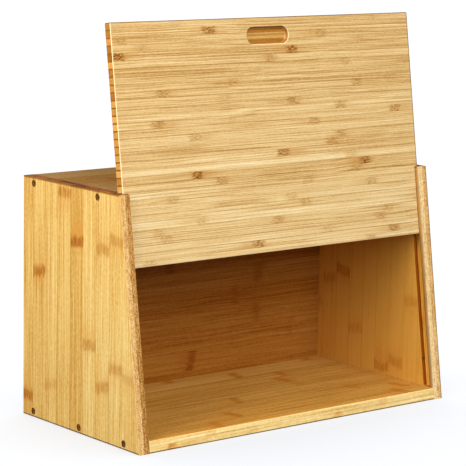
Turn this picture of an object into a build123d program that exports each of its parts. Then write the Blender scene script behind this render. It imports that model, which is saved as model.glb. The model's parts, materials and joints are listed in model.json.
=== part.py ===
"""Bread bin: a bamboo case with a sloping front, and a door that slides up the slope.

Millimetres. The origin is the centre of the footprint, on the surface that the case stands on.
+Z is up and the sloping front faces -Y. The door is modelled partly raised.
"""

import os
from math import atan, cos, sin, tan

from build123d import *

# Case
WIDTH = 400
BASE_DEPTH = 200
TOP_DEPTH = 164
HEIGHT = 245
BOARD = 12
EASE = 1.0  # radius of the sanded edges

# Back panel, held in grooves all round
BACK_BOARD = 6
BACK_INSET = 5  # from the rear edges of the boards
BACK_TONGUE = 4  # how far the panel stands in each groove
GLUE_GAP = 0.5  # from the panel's edge to the bottom of its groove

# Door and its two grooves
DOOR_THICKNESS = 9
DOOR_LENGTH = 234
DOOR_GAP = 0.3  # between each face of the door and the groove
DOOR_TONGUE = 4.4  # how far the door stands in each groove
DOOR_RAISED = 162.4  # how far the door is above its closed place
LIP = 5  # wood in front of the groove
GROOVE_DEPTH = 5

# Blind finger pocket in the door's front face
POCKET_WIDTH = 53.5
POCKET_HEIGHT = 17
POCKET_DEPTH = 5
POCKET_BELOW_TOP = 18  # from the door's top edge to the middle of the pocket
POCKET_RIM = 1.2  # radius of the rounded rim
POCKET_FLOOR = 1.5  # radius where the walls meet the floor

# Countersunk wood screws, each set below the surface of the side
HEAD_RADIUS = 3.4
HEAD_RIM = 0.4  # height of the head's straight edge
HEAD_RECESS = 0.9  # from the board's surface to the head
HEAD_PLAY = 0.15  # round the head's straight edge
SHANK_RADIUS = 1.75
SCREW_LENGTH = 35
POINT_LENGTH = 5
CLEARANCE_RADIUS = 1.95  # hole through the side
PILOT_RADIUS = 1.5  # hole in the panel, which the thread bites into
PILOT_DEPTH = 27
CROSS_WIDTH = 3.8
CROSS_SLOT = 1.0
CROSS_DEPTH = 1.3
CROSS_TAPER = 12  # degrees

# Screws in each side: distance from the rear edge, and the panel that each one holds
SCREWS = {
    "top_rear": (19, "top_panel"),
    "top_front": (128, "top_panel"),
    "base_rear": (19, "base_panel"),
    "base_middle": (99, "base_panel"),
    "base_front": (174, "base_panel"),
}

# What follows from the dimensions above
SLOPE = atan((BASE_DEPTH - TOP_DEPTH) / HEIGHT)
REAR = BASE_DEPTH / 2
SIDE = WIDTH / 2
INNER = SIDE - BOARD
BACK_MIDDLE = REAR - BACK_INSET - BACK_BOARD / 2
BACK_GROOVE = BACK_TONGUE + GLUE_GAP
CLEAR_HEIGHT = HEIGHT - 2 * BOARD
GROOVE_REAR = LIP + DOOR_THICKNESS + 2 * DOOR_GAP  # how deep behind the sloping front
DOOR_FRONT = LIP + DOOR_GAP
DOOR_REAR = DOOR_FRONT + DOOR_THICKNESS
DOOR_CLOSED = (BOARD + DOOR_GAP + DOOR_REAR * sin(SLOPE)) / cos(SLOPE)
DOOR_TOP = DOOR_CLOSED + DOOR_RAISED + DOOR_LENGTH  # measured up the slope, from the floor
HEAD_HEIGHT = HEAD_RIM + HEAD_RADIUS - SHANK_RADIUS  # the cone is at 45 degrees
SCREW_HEIGHT = {"top_panel": HEIGHT - BOARD / 2, "base_panel": BOARD / 2}
LEFT, RIGHT = -1, 1

# The sloping front: X to the right, Y up the slope, Z out of the front
FRONT = Plane(origin=(0, -REAR, 0), x_dir=(1, 0, 0), z_dir=(0, -cos(SLOPE), sin(SLOPE)))


def front_y(height, depth=0):
    """Y, at this height, of the plane that lies this deep behind the sloping front."""
    return -REAR + height * tan(SLOPE) + depth / cos(SLOPE)


def screw_plane(hand, place, x):
    """The plane across a screw's axis at this distance from the middle, looking out of the side."""
    from_rear, panel = SCREWS[place]
    origin = (hand * x, REAR - from_rear, SCREW_HEIGHT[panel])
    return Plane(origin=origin, x_dir=(0, 1, 0), z_dir=(hand, 0, 0))


def finish(piece, name):
    """Labels a finished piece and writes it."""
    piece.part.label = name
    export_step(piece.part, f"parts/{name}.step")


os.makedirs("parts", exist_ok=True)


# Sides: boards with a sloping front edge, a door groove that is open at the top, and a
# groove for the back panel that stops short of both ends
for name, hand in (("left_side", LEFT), ("right_side", RIGHT)):
    with BuildPart() as side:
        with BuildSketch(Plane.YZ.offset(hand * SIDE)):
            with BuildLine():
                Polyline(
                    (front_y(0), 0),
                    (REAR, 0),
                    (REAR, HEIGHT),
                    (front_y(HEIGHT), HEIGHT),
                    close=True,
                )
            make_face()
        extrude(amount=-hand * BOARD)

        # All round the outer face, and along the inner edge of the sloping front
        inner_face, outer_face = side.faces().filter_by(Axis.X).sort_by(Axis.X)[::hand]
        front_edge = inner_face.edges().sort_by(Axis.Y)[0]
        fillet([*outer_face.edges(), front_edge], radius=EASE)

        with BuildSketch(Plane.YZ.offset(hand * INNER)):
            with BuildLine():
                Polyline(
                    (front_y(BOARD, LIP), BOARD),
                    (front_y(BOARD, GROOVE_REAR), BOARD),
                    (front_y(HEIGHT, GROOVE_REAR), HEIGHT),
                    (front_y(HEIGHT, LIP), HEIGHT),
                    close=True,
                )
            make_face()
        extrude(amount=hand * GROOVE_DEPTH, mode=Mode.SUBTRACT)

        with BuildSketch(Plane.YZ.offset(hand * INNER)):
            with Locations((BACK_MIDDLE, HEIGHT / 2)):
                Rectangle(BACK_BOARD, CLEAR_HEIGHT + 2 * BACK_GROOVE)
        extrude(amount=hand * BACK_GROOVE, mode=Mode.SUBTRACT)

        # The play round the head lets the two cones meet when the hole is that much shallower
        seat = SIDE - HEAD_RECESS - HEAD_RIM + HEAD_PLAY
        with Locations([screw_plane(hand, place, seat) for place in SCREWS]):
            CounterSinkHole(CLEARANCE_RADIUS, HEAD_RADIUS + HEAD_PLAY, BOARD, 90)
    finish(side, name)


# Top and base panels: boards between the sides. The top panel's front edge runs along the
# rear of the door, and the base panel's lies in the sloping front. Both are grooved inside
# for the back panel.
for name, bottom, front_depth, inside in (
    ("top_panel", HEIGHT - BOARD, GROOVE_REAR, HEIGHT - BOARD),
    ("base_panel", 0, 0, BOARD),
):
    with BuildPart() as panel:
        with BuildSketch(Plane.YZ.offset(-INNER)):
            with BuildLine():
                Polyline(
                    (front_y(bottom, front_depth), bottom),
                    (REAR, bottom),
                    (REAR, bottom + BOARD),
                    (front_y(bottom + BOARD, front_depth), bottom + BOARD),
                    close=True,
                )
            make_face()
        extrude(amount=2 * INNER)
        fillet(panel.edges().filter_by(Axis.X), radius=EASE)

        with BuildSketch(Plane.YZ.offset(-INNER)):
            with Locations((BACK_MIDDLE, inside)):
                Rectangle(BACK_BOARD, 2 * BACK_GROOVE)
        extrude(amount=2 * INNER, mode=Mode.SUBTRACT)

        held = [place for place in SCREWS if SCREWS[place][1] == name]
        with Locations([screw_plane(hand, place, INNER) for hand in (LEFT, RIGHT) for place in held]):
            Hole(PILOT_RADIUS, PILOT_DEPTH)
    finish(panel, name)


# Back panel: a thin board that stands in the grooves of the four others
with BuildPart() as back_panel:
    with BuildSketch(Plane.YZ.offset(-INNER - BACK_TONGUE)):
        with Locations((BACK_MIDDLE, HEIGHT / 2)):
            Rectangle(BACK_BOARD, CLEAR_HEIGHT + 2 * BACK_TONGUE)
    extrude(amount=2 * (INNER + BACK_TONGUE))
finish(back_panel, "back_panel")


# Sliding door: a plate with sanded edges and a blind finger pocket
with BuildPart() as sliding_door:
    with BuildSketch(FRONT.offset(-DOOR_FRONT)):
        with Locations((0, DOOR_TOP - DOOR_LENGTH / 2)):
            Rectangle(2 * (INNER + DOOR_TONGUE), DOOR_LENGTH)
    extrude(amount=-DOOR_THICKNESS)
    fillet(sliding_door.edges(), radius=EASE)

    with BuildSketch(FRONT.offset(-DOOR_FRONT)):
        with Locations((0, DOOR_TOP - POCKET_BELOW_TOP)):
            SlotOverall(POCKET_WIDTH, POCKET_HEIGHT)
    extrude(amount=-POCKET_DEPTH, mode=Mode.SUBTRACT)
    outwards = Axis(FRONT.origin, FRONT.z_dir)
    pocket_floor = sliding_door.faces().filter_by(FRONT).sort_by(outwards)[1]
    fillet(pocket_floor.edges(), radius=POCKET_FLOOR)
    front_face = sliding_door.faces().filter_by(FRONT).sort_by(outwards)[-1]
    fillet(front_face.inner_wires()[0].edges(), radius=POCKET_RIM)
finish(sliding_door, "sliding_door")


# Screws: a countersunk head with a cross slot, a plain shank at the thread's outer size, and a point
for side_name, hand in (("left", LEFT), ("right", RIGHT)):
    for place in SCREWS:
        head = screw_plane(hand, place, SIDE - HEAD_RECESS)
        with BuildPart() as screw:
            with BuildSketch(Plane(origin=head.origin, x_dir=head.x_dir, z_dir=(0, 0, -hand))):
                with BuildLine():
                    Polyline(
                        (0, 0),
                        (HEAD_RADIUS, 0),
                        (HEAD_RADIUS, -HEAD_RIM),
                        (SHANK_RADIUS, -HEAD_HEIGHT),
                        (SHANK_RADIUS, POINT_LENGTH - SCREW_LENGTH),
                        (0, -SCREW_LENGTH),
                        close=True,
                    )
                make_face()
            revolve(axis=Axis(head.origin, head.z_dir))
            with BuildSketch(head):
                Rectangle(CROSS_WIDTH, CROSS_SLOT)
                Rectangle(CROSS_SLOT, CROSS_WIDTH)
            extrude(amount=-CROSS_DEPTH, taper=CROSS_TAPER, mode=Mode.SUBTRACT)
        finish(screw, f"screw_{side_name}_{place}")
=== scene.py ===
"""Bread bin: bamboo boards, bronzed screws, a pale studio and the camera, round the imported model.

Object coordinates are the row frame, in metres. The shaders work in millimetres along, across and
through each board, so that grain, strips, knots and end grain run through it as they do in wood.
Colours are hex words, as they look on a screen.
"""

import json
import math
import random

import bpy
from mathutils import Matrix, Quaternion, Vector


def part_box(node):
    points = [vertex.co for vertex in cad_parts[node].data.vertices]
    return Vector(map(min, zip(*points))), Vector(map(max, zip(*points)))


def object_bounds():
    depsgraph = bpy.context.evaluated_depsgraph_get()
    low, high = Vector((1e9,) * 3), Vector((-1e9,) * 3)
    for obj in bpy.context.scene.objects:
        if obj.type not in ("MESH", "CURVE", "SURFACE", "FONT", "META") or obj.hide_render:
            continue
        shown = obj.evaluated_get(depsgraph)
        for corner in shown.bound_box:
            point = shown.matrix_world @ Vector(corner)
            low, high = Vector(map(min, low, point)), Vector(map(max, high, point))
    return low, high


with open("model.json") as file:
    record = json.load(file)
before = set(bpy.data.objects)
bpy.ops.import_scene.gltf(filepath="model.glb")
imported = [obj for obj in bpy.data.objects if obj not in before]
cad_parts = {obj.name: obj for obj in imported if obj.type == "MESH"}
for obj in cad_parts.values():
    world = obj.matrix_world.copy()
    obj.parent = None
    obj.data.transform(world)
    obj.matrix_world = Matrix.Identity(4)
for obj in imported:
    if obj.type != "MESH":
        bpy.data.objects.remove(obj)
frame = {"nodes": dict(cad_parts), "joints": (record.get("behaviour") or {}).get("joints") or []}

cad_low, cad_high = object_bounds()
nodes = frame["nodes"]

MM = 0.001  # metres

# ---------------------------------------------------------------- the design's own measures

DOOR_AXIS = Vector(next(j["axis"] for j in frame["joints"] if j["name"] == "door_slide"))
SLOPE = math.atan2(DOOR_AXIS.y, DOOR_AXIS.z)
X, Y, Z = Vector((1, 0, 0)), Vector((0, 1, 0)), Vector((0, 0, 1))
UP_SLOPE = Vector((0, math.sin(SLOPE), math.cos(SLOPE)))
OUT_OF_SLOPE = Vector((0, -math.cos(SLOPE), math.sin(SLOPE)))


def reach(node, direction):
    """How far a node reaches in a direction, in millimetres from the origin."""
    return max(direction.dot(v.co) for v in nodes[node].data.vertices) / MM


low = {node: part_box(node)[0] / MM for node in nodes}
high = {node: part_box(node)[1] / MM for node in nodes}


# ---------------------------------------------------------------- shader formulas


class Value:
    """A shader value, which formulas can be written with."""

    def __init__(self, shader, socket):
        self.shader = shader
        self.socket = socket

    def __add__(self, other):
        return self.shader.math("ADD", self, other)

    def __sub__(self, other):
        return self.shader.math("SUBTRACT", self, other)

    def __rsub__(self, other):
        return self.shader.math("SUBTRACT", other, self)

    def __mul__(self, other):
        return self.shader.math("MULTIPLY", self, other)

    def __truediv__(self, other):
        return self.shader.math("DIVIDE", self, other)

    def __pow__(self, other):
        return self.shader.math("POWER", self, other)

    def __abs__(self):
        return self.shader.math("ABSOLUTE", self)

    __radd__ = __add__
    __rmul__ = __mul__

    def floor(self):
        return self.shader.math("FLOOR", self)

    def fraction(self):
        return self.shader.math("FRACT", self)

    def wrap(self, length):
        return self.shader.math("FLOORED_MODULO", self, length)

    def at_least(self, other):
        return self.shader.math("MAXIMUM", self, other)

    def at_most(self, other):
        return self.shader.math("MINIMUM", self, other)

    def rise(self, start, end):
        """0 at start, 1 at end, smooth between them and level outside."""
        node = self.shader.add("ShaderNodeMapRange", interpolation_type="SMOOTHSTEP")
        self.shader.feed(node.inputs["Value"], self)
        node.inputs["From Min"].default_value = min(start, end)
        node.inputs["From Max"].default_value = max(start, end)
        node.inputs["To Min"].default_value = float(start > end)
        node.inputs["To Max"].default_value = float(start < end)
        return Value(self.shader, node.outputs["Result"])

    def bell(self, width):
        """1 at zero, falling to nothing at a few widths either side."""
        return self.shader.math("EXPONENT", (self / width) ** 2 * -1)


class Shader:
    """A new material, with methods that add nodes and give back their results."""

    def __init__(self, name):
        self.material = bpy.data.materials.new(name)
        self.material.use_nodes = True
        self.tree = self.material.node_tree
        self.surface = self.tree.nodes["Principled BSDF"]

    def add(self, kind, **settings):
        node = self.tree.nodes.new(kind)
        for name, value in settings.items():
            setattr(node, name, value)
        return node

    def feed(self, socket, value):
        """Links a shader value to a socket, or sets the socket to a constant."""
        if isinstance(value, Value):
            self.tree.links.new(value.socket, socket)
        else:
            socket.default_value = value

    def math(self, operation, *values):
        node = self.add("ShaderNodeMath", operation=operation)
        for socket, value in zip(node.inputs, values):
            self.feed(socket, value)
        return Value(self, node.outputs[0])

    def coordinate(self, output):
        node = self.add("ShaderNodeTexCoord")
        return Value(self, node.outputs[output])

    def along(self, vector, direction):
        """The part of a vector that points in a constant direction."""
        node = self.add("ShaderNodeVectorMath", operation="DOT_PRODUCT")
        self.feed(node.inputs[0], vector)
        node.inputs[1].default_value = direction
        return Value(self, node.outputs["Value"])

    def point(self, x, y, z):
        node = self.add("ShaderNodeCombineXYZ")
        for socket, value in zip(node.inputs, (x, y, z)):
            self.feed(socket, value)
        return Value(self, node.outputs[0])

    def noise(self, x, y, z, detail=2.0, roughness=0.5):
        """Smooth noise, centred on 0 and reaching about half of 1 either way."""
        node = self.add("ShaderNodeTexNoise")
        self.feed(node.inputs["Vector"], self.point(x, y, z))
        node.inputs["Scale"].default_value = 1.0
        node.inputs["Detail"].default_value = detail
        node.inputs["Roughness"].default_value = roughness
        return Value(self, node.outputs[0]) - 0.5

    def chance(self, x, y, z):
        """Three random values from 0 to 1, the same wherever x, y and z are the same."""
        node = self.add("ShaderNodeTexWhiteNoise", noise_dimensions="3D")
        self.feed(node.inputs["Vector"], self.point(x, y, z))
        return self.split(Value(self, node.outputs["Color"]))

    def split(self, colour):
        node = self.add("ShaderNodeSeparateColor")
        self.feed(node.inputs[0], colour)
        return [Value(self, socket) for socket in node.outputs]

    def steps(self, value, entries):
        """Looks up a whole number in a list of four-number entries."""
        node = self.add("ShaderNodeValToRGB")
        ramp = node.color_ramp
        ramp.interpolation = "CONSTANT"
        for _ in range(len(entries) - len(ramp.elements)):
            ramp.elements.new(1.0)
        for i, entry in enumerate(entries):
            ramp.elements[i].position = i / len(entries)
            ramp.elements[i].color = entry
        self.feed(node.inputs[0], (value + 0.5) / len(entries))
        return [*self.split(Value(self, node.outputs["Color"])), Value(self, node.outputs["Alpha"])]

    def palette(self, value, colours):
        """A colour from a row of evenly spaced ones, the first at 0 and the last at 1."""
        node = self.add("ShaderNodeValToRGB")
        ramp = node.color_ramp
        for _ in range(len(colours) - len(ramp.elements)):
            ramp.elements.new(0.5)
        for i, colour in enumerate(colours):
            ramp.elements[i].position = i / (len(colours) - 1)
            ramp.elements[i].color = (*linear(colour), 1)
        self.feed(node.inputs[0], value)
        return Value(self, node.outputs["Color"])

    def blend(self, amount, first, second, mode="MIX"):
        """Two colours mixed, each of them a value or a hex word."""
        node = self.add("ShaderNodeMix", data_type="RGBA", blend_type=mode)
        self.feed(node.inputs[0], amount)
        for socket, colour in ((node.inputs[6], first), (node.inputs[7], second)):
            self.feed(socket, (*linear(colour), 1) if isinstance(colour, str) else colour)
        return Value(self, node.outputs[2])

    def multiplied(self, first, second):
        return self.blend(1.0, first, second, mode="MULTIPLY")

    def bump(self, height):
        """Shades the surface as if it had a relief of this height in millimetres."""
        node = self.add("ShaderNodeBump")
        node.inputs["Strength"].default_value = 1.0
        node.inputs["Distance"].default_value = MM
        self.feed(node.inputs["Height"], height)
        self.feed(self.surface.inputs["Normal"], Value(self, node.outputs[0]))


def linear(colour):
    """A hex colour as it looks on a screen, in the linear numbers that shaders work in."""
    parts = (int(colour[i : i + 2], 16) / 255 for i in (0, 2, 4))
    return tuple(p / 12.92 if p <= 0.04045 else ((p + 0.055) / 1.055) ** 2.4 for p in parts)


# ---------------------------------------------------------------- bamboo

# Two ways of gluing strips. Flat-pressed boards show the broad faces of the strips, in plies, and
# side-pressed ones show their narrow edges. The base's colours are duller and a little darker, and the
# top is matt.
# Lengths are in millimetres, and a scale is how many streaks, hairs or spots a millimetre holds.
FLAT = dict(
    # A strip's width and thickness, and how much darker the cane's dense outer side is
    width=21.8,
    ply=6.0,
    dense=0.08,
    # Scales across the grain, and the length of a hair
    streak=0.15,
    fibre=0.46,
    hair=0.80,
    length=110.0,
    # How strongly streaks, fibres, hairs and short ticks show
    broad=0.24,
    fine=0.50,
    finest=1.0,
    tick=0.46,
    # A knot's size, the scales of its spots across and along the grain, how strongly it is stained
    # between them, how pale it is there, and how far fibres stray in it
    knot=6.4,
    spot=0.34,
    wrinkle=0.07,
    solid=0.55,
    pale=0.0,
    crumple=3.0,
    # How much it reflects, and its colours, from the darkest fibres to the lightest
    gloss=0.15,
    colours=("ab7625", "ce9a42", "e6b961", "f5d482", "ffe8a2"),
    halo="d89638",
    stain="a05804",
    ends=("3c2006", "6b3c10", "94602a", "b98446"),
)
BASE = dict(FLAT, colours=("9f7834", "be9852", "d7b46e", "e8cc8a", "f4dda2"))
TOP = dict(FLAT, gloss=0.0)
EDGE = dict(
    width=7.37,
    ply=10.0,
    dense=0.12,
    streak=0.28,
    fibre=0.85,
    hair=1.35,
    length=160.0,
    broad=0.07,
    fine=0.60,
    finest=1.20,
    tick=0.38,
    knot=8.5,
    spot=0.7,
    wrinkle=0.24,
    solid=0.26,
    pale=0.32,
    crumple=5.0,
    gloss=0.0,
    colours=("9f733b", "c59f61", "e0c185", "efd69e", "fbecbf"),
    halo="bf8840",
    stain="743c04",
    ends=("64340a", "94581a", "bb7f34", "d6a253"),
)

SLANT_COLOURS = ("7a481a", "b07e42", "caa26a", "e8ca9a")  # fibres cut at a slant
KNOT_TINT = "fff4cc"
GLUE = "7a4a1a"
GLUE_IN_ENDS = "5a2f0a"
GLUE_BETWEEN_PLIES = "8a5a28"
# Painted shade on the eased edges round the ends that face along the grain
END_ARRIS_SHADE = "5f452e"
# Painted shade over the inner face of the front lip, and a painted shadow where the door stands against
# it
LIP_FACE_SHADE = "cfcfe6"
LIP_SHADOW = "70420c"

KNOT_SPAN = 400.0  # millimetres that 1 stands for in the knot places and spacings of strip_list
PLY_STAGGER = 0.37  # how far each ply is shifted, in strips
PLY_SKIP = 7  # how many entries of the list of strips lie between a ply and the next
TICK_LENGTH = 3.5
SOFTNESS = 0.3  # how wide the soft border of a box is, in millimetres
SLANT_DEPTH = 2.0  # how deep behind the slope the dots of its cut reach
LIP_THICKNESS = 5.4  # from the slope to the groove
INNER_FACE = 11.5  # from a side's outer face to just short of its inner one


def strip_list(count, seed, chosen):
    """Each strip as (tone, knot place, knot spacing, knot strength), scaled for a colour ramp.

    chosen gives the strips whose look is known, by number, and chance makes the rest."""
    rng = random.Random(seed)
    strips = []
    for number in range(count):
        made = (
            rng.uniform(0.40, 0.66),
            rng.uniform(-170, 170),
            rng.uniform(190, 290),
            rng.uniform(0.2, 0.6),
        )
        tone, place, spacing, strength = chosen.get(number, made)
        strips.append((tone, place / KNOT_SPAN + 0.5, spacing / KNOT_SPAN, strength))
    return strips


class Board(Shader):
    """The material of a board glued from bamboo strips.

    Places on it are in millimetres: u along the grain, v across the strips from the first one's
    edge, and w through the plies from the first one's face."""

    def __init__(self, name, along, across, through, first_edge, face, look, seed):
        super().__init__(name)
        self.look = look
        self.seed = seed
        self.place = self.coordinate("Object")
        self.u = self.along(self.place, along / MM)
        self.v = self.along(self.place, across / MM) - first_edge
        self.w = self.along(self.place, through / MM) - face
        normal = self.coordinate("Normal")
        self.facing = self.along(normal, along)
        self.endness = abs(self.facing)
        self.squareness = self.endness.at_least(abs(self.along(normal, across))).at_least(
            abs(self.along(normal, through))
        )

    def within(self, box):
        """1 inside a box, 0 outside it."""
        inside = 1
        for measure, start, stop in zip((self.u, self.v, self.w), *box):
            after_start = measure.rise(start - SOFTNESS, start)
            before_stop = measure.rise(stop + SOFTNESS, stop)
            inside = after_start * before_stop * inside
        return inside

    def lay_strips(self, strips, inner):
        """Finds the strip, how far across it this is, and the strip's tone and knots."""
        self.layer = (self.w / self.look["ply"]).floor()
        row = self.v / self.look["width"] + self.layer * PLY_STAGGER
        self.strip = row.floor()
        self.part = row.fraction()
        self.to_joint = (0.5 - abs(self.part - 0.5)) * self.look["width"]
        entry = (self.strip + self.layer * PLY_SKIP).wrap(len(strips))
        tone, place, spacing, self.knot_strength = self.steps(entry, strips)
        self.tone = tone + self.layer.at_least(0).at_most(1) * inner
        self.spacing = spacing * KNOT_SPAN
        self.from_first_knot = self.u - (place - 0.5) * KNOT_SPAN

    def place_knots(self):
        """Knots are where the cane's walls were. Each wanders and leans a little in its strip."""
        size = self.look["knot"]
        internode = (self.from_first_knot / self.spacing).floor()
        self.shade = self.chance(self.strip, internode, self.layer + self.seed + 0.5)[0]
        nearest = (self.from_first_knot / self.spacing + 0.5).floor()
        lean, vigour, side = self.chance(self.strip, nearest, self.layer + self.seed)
        leaning = (lean - 0.5) * (self.part - 0.5) * self.look["width"] * 0.5
        from_knot = self.from_first_knot - nearest * self.spacing + leaning

        across = self.v * self.look["spot"]
        through = self.w * self.look["spot"]
        ragged = self.noise(self.u * 0.1, across, through + self.seed) * size
        strength = (self.knot_strength * (vigour * 0.4 + 0.9)).at_most(1) ** 1.4
        self.core = (abs(from_knot) - ragged * 1.8).rise(size * 1.25, size * 0.35) * strength
        smear = from_knot + ragged * 2 + (side - 0.5) * size * 3
        self.halo = smear.bell(size * 2) * strength
        wrinkles = self.noise(self.u * self.look["wrinkle"], across * 1.4, through * 1.4 - self.seed)
        self.spots = wrinkles.rise(-0.08, 0.05)
        self.crumple = self.noise(self.u * 0.25, across, through, detail=1) * self.core

    def draw_fibres(self):
        """Streaks, fibres, hairs and short ticks, drawn out along the grain and crumpled in knots."""
        look = self.look
        wander = self.noise(self.u * 0.011, self.v * 0.05, self.w * 0.05 + self.seed, detail=1) * 2.6
        astray = wander + self.crumple * look["crumple"]
        across = self.v + astray
        through = self.w + astray
        own = self.strip * 5.3 + self.seed

        def fibres(scale, length):
            return self.noise(self.u / length + own, across * scale, through * scale + own, detail=1)

        streaks = fibres(look["streak"], look["length"] * 3)
        self.lines = fibres(look["fibre"], look["length"] * 2)
        self.hairs = fibres(look["hair"], look["length"])
        dashes = fibres(look["fibre"] * 1.7, look["length"] * 0.6).rise(0.08, 0.20)
        ticks = fibres(look["fibre"], TICK_LENGTH)
        grain = streaks * look["broad"] + self.lines * look["fine"] + self.hairs * look["finest"]
        self.grain = grain + ticks * look["tick"] - dashes * 0.16

    def planed(self):
        """The colour of the planed faces: tones and grain, stained knots and glue lines."""
        look = self.look
        drift = self.noise(self.u * 0.006, self.v * 0.02, self.w * 0.1 + self.seed * 3, detail=1)
        outer = (1 - self.part) ** 3 * self.shade * look["dense"]
        self.brightness = self.tone + (self.shade - 0.5) * 0.09 + drift * 0.2 - outer + self.grain
        colour = self.palette(self.brightness.at_least(0).at_most(1), look["colours"])
        colour = self.blend(self.halo * 0.6, colour, look["halo"])
        colour = self.blend(self.core * (1 - self.spots) * look["pale"], colour, look["colours"][-1])
        stain = self.core * (self.spots * (1 - look["solid"]) + look["solid"])
        colour = self.blend(stain, colour, look["stain"])
        colour = self.blend(self.core, colour, self.multiplied(colour, KNOT_TINT))
        self.joint = self.to_joint.rise(0.5, 0.1) * self.shade
        return self.blend(self.joint * self.shade * 0.7, colour, GLUE)

    def slanted(self, colour, at_front, end, rim_shade):
        """A sloping edge, where fibres cut at a slant show as pale wood full of dots, with painted
        shade along the slope's outer edge.
        """
        cut = self.endness.rise(0.08, 0.14) * (1 - end) * at_front
        dots = self.noise(self.u * 0.75, self.v * 0.75, self.w * 0.75 - self.seed, detail=1)
        dotted = (self.brightness * 0.7 + dots * 1.4 + 0.12).at_least(0).at_most(1)
        colour = self.blend(cut * 0.85, colour, self.palette(dotted, SLANT_COLOURS))
        # Painted shade along the slope's outer edge
        strength, tint = rim_shade
        return self.blend(at_front * self.w.rise(2.0, 1.0) * strength, colour, tint)

    def end_grain(self, colour, end):
        """Sawn ends, which drink the lacquer and go dark, and the glue between plies."""
        self.pores = self.noise(self.v * 1.3, self.w * 1.3, self.u * 0.1 + self.seed, detail=1)
        tone = (self.pores * 1.3 + self.tone * 0.4 + self.shade * 0.5 + 0.15).at_least(0).at_most(1)
        colour = self.blend(end * 0.94, colour, self.palette(tone, self.look["ends"]))
        glue = end * self.to_joint.rise(1.1, 0.3) * (self.shade * 0.5 + 0.4)
        colour = self.blend(glue, colour, GLUE_IN_ENDS)
        ply = self.look["ply"]
        to_ply = (0.5 - abs((self.w / ply).fraction() - 0.5)) * ply
        return self.blend(to_ply.rise(0.35, 0.05) * 0.30 * (1 - end), colour, GLUE_BETWEEN_PLIES)

    def paint_arris_light_and_shade(self, colour, arris_light_and_shade):
        """Eased edges, mixed with each board's own tint, which is a painted highlight where it is pale
        and painted shade where it is dark, and painted shade round the ends that face along it.
        """
        eased = self.squareness.rise(0.985, 0.80)
        strength, tint = arris_light_and_shade
        # A painted highlight where the tint is pale and painted shade where it is dark, along the eased
        # edges
        colour = self.blend(eased * strength * (1 - self.facing.rise(0.05, 0.3)), colour, tint)
        # Painted shade on the edges round the ends that face along the grain
        return self.blend(eased * self.facing.rise(0.1, 0.3) * 0.8, colour, END_ARRIS_SHADE)

    def lip(self, colour, behind):
        """The inner face of the front lip, darkened with painted shade, and with a deeper painted
        shadow where the door stands against it.
        """
        in_front = behind.rise(LIP_THICKNESS + 0.2, LIP_THICKNESS - 0.2)
        face = in_front * self.w.rise(INNER_FACE - 0.2, INNER_FACE + 0.2)
        colour = self.blend(face, colour, self.multiplied(colour, LIP_FACE_SHADE))
        return self.blend(face * behind.rise(3.8, 4.6) * 0.6, colour, LIP_SHADOW)

    def lacquer(self, end):
        """A faint relief under lacquer, which is duller on knots and ends."""
        roughness = 0.48 + self.lines * 0.16 + self.core * 0.08 + end * 0.14
        self.feed(self.surface.inputs["Roughness"], roughness)
        self.surface.inputs["Specular IOR Level"].default_value = self.look["gloss"]
        self.surface.inputs["Specular Tint"].default_value = (0.30, 0.27, 0.24, 1)
        relief = self.lines * 0.05 + self.hairs * 0.03 - self.core * self.spots * 0.1
        self.bump(relief - self.joint * 0.04 - end * self.pores * 0.06)


def bamboo(
    name, along, across, through, first_edge, face, look, strips, seed, inner, hollows, arris_light_and_shade,
    front=None, rim_shade=None, bare=None,
):
    """A board glued from bamboo strips.

    along, across and through are the directions of its grain, of its width and of its thickness.
    first_edge is where the first strip starts across the board and face is where its first ply
    starts, in millimetres. look is FLAT, EDGE or made from one, and strips comes from strip_list.
    inner is how much lighter the second ply is, and hollows are boxes, each with a tint for what
    is in it; most of these tints are painted shade. arris is how strongly the eased edges are
    coloured and with what: a painted highlight where the colour is pale, painted shade where it is
    dark. front is how far the board reaches out of the slope, if it has one, and rim colours the
    slope's outer edge in the same way as arris, with painted shade. bare is a box where end grain
    takes up little."""
    board = Board(name, along, across, through, first_edge, face, look, seed)
    board.lay_strips(strips, inner)
    board.place_knots()
    board.draw_fibres()
    colour = board.planed()
    end = board.endness.rise(0.25, 0.7)
    if bare is not None:
        end = (1 - board.within(bare) * 0.9) * end
    at_front = 0
    if front is not None:
        behind = front - board.along(board.place, OUT_OF_SLOPE / MM)
        at_front = behind.rise(SLANT_DEPTH + 0.4, SLANT_DEPTH - 0.4)
        colour = board.slanted(colour, at_front, end, rim_shade)
    colour = board.end_grain(colour, end)
    colour = board.paint_arris_light_and_shade(colour, arris_light_and_shade)
    if front is not None:
        colour = board.lip(colour, behind)
    for box, tint in hollows:
        colour = board.blend((1 - at_front) * board.within(box), colour, board.multiplied(colour, tint))
    board.feed(board.surface.inputs["Base Color"], colour)
    board.lacquer(end)
    return board.material


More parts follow.
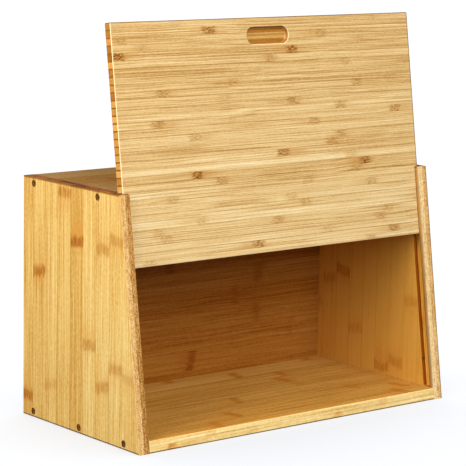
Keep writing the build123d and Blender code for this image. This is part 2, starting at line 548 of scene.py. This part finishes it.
# Strips whose look is known, as (tone, place of a knot, spacing of its knots, strength). Places are
# in millimetres from the foot of the side and from the middle of the door.
LEFT_STRIPS = {
    0: (0.42, 22, 260, 0.80),
    1: (0.55, 152, 260, 0.80),
    2: (0.59, 300, 260, 0.3),
    3: (0.55, 237, 260, 0.60),
    4: (0.40, 191, 260, 0.85),
    5: (0.64, 92, 240, 0.54),
    6: (0.59, 54, 135, 0.45),
    7: (0.62, 76, 124, 0.50),
    8: (0.67, 330, 260, 0.4),
    9: (0.69, 330, 260, 0.3),
}
# The door's tones rise from about 0.44 in its upper strips to about 0.58 in its lower ones: besides
# each strip's own tone, this is painted light, the door lighter towards its foot
DOOR_STRIPS = {
    0: (0.47, -115, 260, 0.25),
    1: (0.43, -75, 300, 0.85),
    2: (0.42, -182, 252, 0.45),
    3: (0.47, -157, 280, 0.30),
    4: (0.38, 30, 216, 1.0),
    5: (0.47, 1, 260, 0.45),
    6: (0.35, -240, 300, 0.3),
    7: (0.44, -20, 290, 0.25),
    8: (0.43, -50, 290, 0.4),
    9: (0.44, 114, 250, 0.6),
    10: (0.48, -60, 300, 0.3),
    11: (0.47, 27, 240, 0.6),
    12: (0.58, 90, 290, 0.4),
    13: (0.52, -145, 311, 0.55),
    14: (0.46, 53, 260, 0.48),
    15: (0.60, -101, 300, 0.4),
    16: (0.52, 87, 300, 0.5),
    17: (0.46, 75, 290, 0.66),
    18: (0.48, 9, 290, 0.78),
    19: (0.70, -220, 300, 0.3),
    20: (0.44, -101, 220, 0.92),
    21: (0.46, -72, 180, 0.52),
    22: (0.54, 40, 280, 0.3),
    23: (0.57, 126, 260, 0.4),
    24: (0.58, 16, 240, 0.35),
    25: (0.59, 34, 260, 0.45),
    26: (0.68, -100, 290, 0.4),
    27: (0.57, -4, 150, 0.42),
    28: (0.53, -145, 280, 0.40),
    29: (0.61, 60, 300, 0.3),
    30: (0.58, -31, 184, 0.7),
}

# The parts of boards that are tinted, with a little room round them, in millimetres. Most tints are
# painted shade: in the screw holes, grooves and finger pocket, on the sides' top ends (with darker
# end grain there) and feet, under the base, on the door's top edge and far end, over the top panel
# and over the back panel's inside. The rest of the wood inside the case is tinted more amber than
# the outside.
ALL = 1000.0  # further than any board reaches
POCKET_HALF_LENGTH = 27.5
POCKET_DEPTHS = 0.5, 6.0
HOLE_RADIUS = 3.8
HOLE_DEPTHS = 0.35, 11.0
# Painted shade on the walls of the screw holes
HOLE_SHADE = "1e1106"
GROOVE_START, GROOVE_STOP = 12.5, 2.0  # above a side's foot and below its head
GROOVE_SETBACK = 20.0  # of the groove's region from the first strip's edge
GROOVE_DEPTHS = 7.3, 11.7


def pocket_strip(top, bottom):
    """The part of the finger pocket between two distances from the door's top edge."""
    shallow, deep = POCKET_DEPTHS
    return (-POCKET_HALF_LENGTH, top, shallow), (POCKET_HALF_LENGTH, bottom, deep)


def side_holes(side, first_edge):
    """The screw holes of a side, as boxes that hold nothing else of it, each with the painted shade
    that darkens its walls.
    """
    shallow, deep = HOLE_DEPTHS
    holes = []
    for screw in nodes:
        if screw.startswith("screw_" + side.removesuffix("_side")):
            middle = (low[screw] + high[screw]) / 2
            u, v = middle.z, -middle.y - first_edge
            start = (u - HOLE_RADIUS, v - HOLE_RADIUS, shallow)
            stop = (u + HOLE_RADIUS, v + HOLE_RADIUS, deep)
            holes.append(((start, stop), HOLE_SHADE))
    return holes


def beyond(depth, tint):
    """All of a board that is deeper than this behind its outer face."""
    return ((-ALL, -ALL, depth), (ALL, ALL, ALL)), tint


def groove_wall_shade(side, tint):
    """The walls of a side's groove for the door, darkened with painted shade."""
    shallow, deep = GROOVE_DEPTHS
    start = (low[side].z + GROOVE_START, GROOVE_SETBACK, shallow)
    stop = (high[side].z - GROOVE_STOP, ALL, deep)
    return (start, stop), tint


EVERYWHERE = (-ALL, -ALL, -ALL), (ALL, ALL, ALL)
# Darker end grain with painted shade on the sides' top ends
TOP_END_GRAIN_AND_SHADE = ((high["left_side"].z - 1.5, -ALL, -ALL), (ALL, ALL, ALL)), "cab060"
# Painted shade along the sides' feet and under the base, where they meet the floor
FOOT_SHADE = ((-ALL, -ALL, -ALL), (1.4, ALL, ALL)), "8f7f68"
UNDERSIDE_SHADE = ((-ALL, -ALL, -ALL), (ALL, ALL, 1.2)), "8f7f68"
# Painted shade on the door's top edge and along its far end
DOOR_TOP_SHADE = ((-ALL, -ALL, -ALL), (ALL, 0.7, ALL)), "8c7862"
DOOR_END_SHADE = ((high["sliding_door"].x - 1.3, -ALL, -ALL), (ALL, ALL, ALL)), "a48c74"
left_edge = -high["left_side"].y - 4.0
right_edge = -high["right_side"].y - 9.0
BOARDS = {
    "left_side": dict(
        along=Z, across=-Y, through=X, first_edge=left_edge, face=low["left_side"].x,
        look=FLAT, strips=strip_list(10, 3, LEFT_STRIPS), seed=3.0, inner=-0.4,
        hollows=[
            *side_holes("left_side", left_edge), beyond(6.6, "ffe6b4"),
            groove_wall_shade("left_side", "94744a"), FOOT_SHADE, TOP_END_GRAIN_AND_SHADE,
        ],
        arris_light_and_shade=(0.3, "cfa468"), front=reach("left_side", OUT_OF_SLOPE), rim_shade=(0.3, "c08a50"),
    ),
    "right_side": dict(
        along=Z, across=-Y, through=-X, first_edge=right_edge, face=-high["right_side"].x,
        look=FLAT, strips=strip_list(10, 11, {}), seed=11.0, inner=0.52,
        hollows=[
            *side_holes("right_side", right_edge), beyond(6.6, "ffd48a"),
            groove_wall_shade("right_side", "98744c"), FOOT_SHADE, TOP_END_GRAIN_AND_SHADE,
        ],
        arris_light_and_shade=(0.3, "cfa468"), front=reach("right_side", OUT_OF_SLOPE), rim_shade=(0.9, "6a4c34"),
    ),
    "top_panel": dict(
        along=X, across=-Y, through=-Z,
        first_edge=-high["top_panel"].y - 5.0, face=-high["top_panel"].z,
        look=TOP, strips=strip_list(8, 23, {}), seed=23.0, inner=-0.1,
        # The second tint is painted shade over the whole top panel, and its edges get dark painted
        # shade
        hollows=[beyond(11.6, "ffe6b4"), (EVERYWHERE, "aaa2b3")], arris_light_and_shade=(0.6, "5a3a26"),
    ),
    "base_panel": dict(
        along=X, across=-Y, through=Z,
        first_edge=-high["base_panel"].y - 13.0, face=low["base_panel"].z,
        look=BASE, strips=strip_list(10, 31, {}), seed=31.0, inner=0.0,
        hollows=[beyond(11.6, "fce0b0"), UNDERSIDE_SHADE], arris_light_and_shade=(0.5, "fbe6c0"),
    ),
    "back_panel": dict(
        along=X, across=Z, through=-Y,
        first_edge=low["back_panel"].z - 3.0, face=-high["back_panel"].y,
        look=FLAT, strips=strip_list(11, 43, {}), seed=43.0, inner=0.0,
        # Painted shade over the back panel's inside
        hollows=[beyond(5.6, "bc9670")], arris_light_and_shade=(0.3, "fbdfae"),
    ),
    "sliding_door": dict(
        along=X, across=-UP_SLOPE, through=-OUT_OF_SLOPE,
        first_edge=-reach("sliding_door", UP_SLOPE), face=-reach("sliding_door", OUT_OF_SLOPE),
        look=EDGE, strips=strip_list(32, 5, DOOR_STRIPS), seed=5.0, inner=0.0,
        hollows=[
            # Painted shade in the finger pocket, deepest in its top and bottom bands
            (pocket_strip(9.0, 14.7), "c8a26c"), (pocket_strip(15.0, 22.1), "dcc6a0"),
            (pocket_strip(22.4, 27.2), "b48c54"), DOOR_TOP_SHADE, DOOR_END_SHADE,
        ],
        arris_light_and_shade=(0.8, "fbe2b4"), bare=pocket_strip(8.8, 27.2),
    ),
}
for node, board in BOARDS.items():
    nodes[node].material_slots[0].material = bamboo(f"bamboo_{node}", **board)


# ---------------------------------------------------------------- screws


def bronzed_steel():
    """Dark bronzed steel, rubbed brighter in places."""
    s = Shader("bronzed_steel")
    place = s.coordinate("Object")
    x, y, z = (s.along(place, axis / MM) for axis in (X, Y, Z))
    cloud = s.noise(x * 0.5, y * 0.5, z * 0.5, detail=3)
    grit = s.noise(x * 4, y * 4, z * 4, detail=2)
    rubbed = (cloud * 1.8 + grit * 0.8 + 0.4).at_least(0).at_most(1)
    s.feed(s.surface.inputs["Base Color"], s.blend(rubbed, "5c320c", "a86e2c"))
    s.feed(s.surface.inputs["Roughness"], 0.45 + grit * 0.3)
    s.surface.inputs["Metallic"].default_value = 0.4
    s.surface.inputs["Specular IOR Level"].default_value = 0.15
    s.bump(grit * 0.03)
    return s.material


steel = bronzed_steel()
for node in nodes:
    if node.startswith("screw_"):
        nodes[node].material_slots[0].material = steel


# ---------------------------------------------------------------- studio

CENTRE = (cad_low + cad_high) / 2
FLOOR_HALF = 12.0


def studio_floor():
    """A pale floor, lit from inside as a light table is, so that only a soft shadow shows on it."""
    mesh = bpy.data.meshes.new("floor")
    corners = [(x * FLOOR_HALF, y * FLOOR_HALF, 0) for x, y in ((-1, -1), (1, -1), (1, 1), (-1, 1))]
    mesh.from_pydata(corners, [], [(0, 1, 2, 3)])
    floor = bpy.data.objects.new("floor", mesh)
    bpy.context.scene.collection.objects.link(floor)
    s = Shader("pale_floor")
    place = s.coordinate("Object")
    x, y = s.along(place, X), s.along(place, Y)
    cloud = s.noise(x * 2, y * 2, 0.0)
    s.feed(s.surface.inputs["Base Color"], s.blend(cloud + 0.5, "8e9299", "92969d"))
    s.surface.inputs["Roughness"].default_value = 0.8
    s.surface.inputs["Specular IOR Level"].default_value = 0.1
    s.surface.inputs["Emission Color"].default_value = (1, 1, 1, 1)
    s.surface.inputs["Emission Strength"].default_value = 0.60
    mesh.materials.append(s.material)
    floor.visible_diffuse = False
    floor.visible_shadow = False
    return floor


def towards(azimuth, elevation):
    """A direction from the object. Azimuth 0 is in front of it and 90 is on its right."""
    a, e = math.radians(azimuth), math.radians(elevation)
    return Vector((math.sin(a) * math.cos(e), -math.cos(a) * math.cos(e), math.sin(e)))


def lamp(name, kind, azimuth, elevation, distance, floor, lights_floor):
    """A light that faces the object, and lights either the floor alone or all but the floor."""
    data = bpy.data.lights.new(name, kind)
    light = bpy.data.objects.new(name, data)
    bpy.context.scene.collection.objects.link(light)
    back = towards(azimuth, elevation)
    light.location = CENTRE + back * distance
    light.rotation_mode = "QUATERNION"
    light.rotation_quaternion = back.to_track_quat("Z", "Y")
    receivers = bpy.data.collections.new(f"{name}_receivers")
    receivers.objects.link(floor)
    light.light_linking.receiver_collection = receivers
    state = "INCLUDE" if lights_floor else "EXCLUDE"
    receivers.collection_objects[0].light_linking.link_state = state
    return data


def soft_box(name, azimuth, elevation, distance, size, power, floor):
    """A square light on the object."""
    data = lamp(name, "AREA", azimuth, elevation, distance, floor, lights_floor=False)
    data.size = size
    data.energy = power


def shadow_maker(azimuth, elevation, spread, strength, floor):
    """A broad distant light on the floor, which the object's soft shadow is in."""
    data = lamp("overhead", "SUN", azimuth, elevation, 3.0, floor, lights_floor=True)
    data.angle = math.radians(spread)
    data.energy = strength


def sky(shown, strength):
    """White to the camera, and a dimmer white as light."""
    world = bpy.data.worlds.new("studio")
    world.use_nodes = True
    tree = world.node_tree
    light = tree.nodes["Background"]
    light.inputs["Strength"].default_value = strength
    backdrop = tree.nodes.new("ShaderNodeBackground")
    backdrop.inputs["Strength"].default_value = shown
    for background in (light, backdrop):
        background.inputs["Color"].default_value = (1, 1, 1, 1)
    path = tree.nodes.new("ShaderNodeLightPath")
    mix = tree.nodes.new("ShaderNodeMixShader")
    tree.links.new(path.outputs["Is Camera Ray"], mix.inputs[0])
    tree.links.new(light.outputs[0], mix.inputs[1])
    tree.links.new(backdrop.outputs[0], mix.inputs[2])
    tree.links.new(mix.outputs[0], tree.nodes["World Output"].inputs["Surface"])
    bpy.context.scene.world = world


floor = studio_floor()
sky(shown=1.1, strength=0.2)
soft_box("side", azimuth=-86, elevation=32, distance=1.3, size=0.9, power=20.2, floor=floor)
soft_box("front", azimuth=-8, elevation=33, distance=2.5, size=2.0, power=76, floor=floor)
soft_box("right", azimuth=92, elevation=16, distance=2.5, size=1.2, power=34, floor=floor)
soft_box("rear", azimuth=180, elevation=16, distance=2.5, size=1.2, power=36, floor=floor)
shadow_maker(azimuth=150, elevation=86, spread=100, strength=4.1, floor=floor)
bpy.context.scene.view_settings.view_transform = "Standard"


# ---------------------------------------------------------------- camera

CAMERA_AZIMUTH, CAMERA_ELEVATION, CAMERA_ROLL = -39.09, 9.47, 1.04  # degrees
CAMERA_DISTANCE = 2.1995
CAMERA_LENS, SENSOR_WIDTH = 165.3, 36  # millimetres
CAMERA_TARGET = Vector((-0.0061, 0.0044, 0.1820))


def photo_camera():
    data = bpy.data.cameras.new("camera")
    data.lens = CAMERA_LENS
    data.sensor_width = SENSOR_WIDTH
    data.clip_start, data.clip_end = 0.05, 50
    camera = bpy.data.objects.new("camera", data)
    bpy.context.scene.collection.objects.link(camera)
    back = towards(CAMERA_AZIMUTH, CAMERA_ELEVATION)
    camera.location = CAMERA_TARGET + back * CAMERA_DISTANCE
    camera.rotation_mode = "QUATERNION"
    roll = Quaternion((0, 0, 1), math.radians(CAMERA_ROLL))
    camera.rotation_quaternion = back.to_track_quat("Z", "Y") @ roll
    bpy.context.scene.camera = camera


photo_camera()
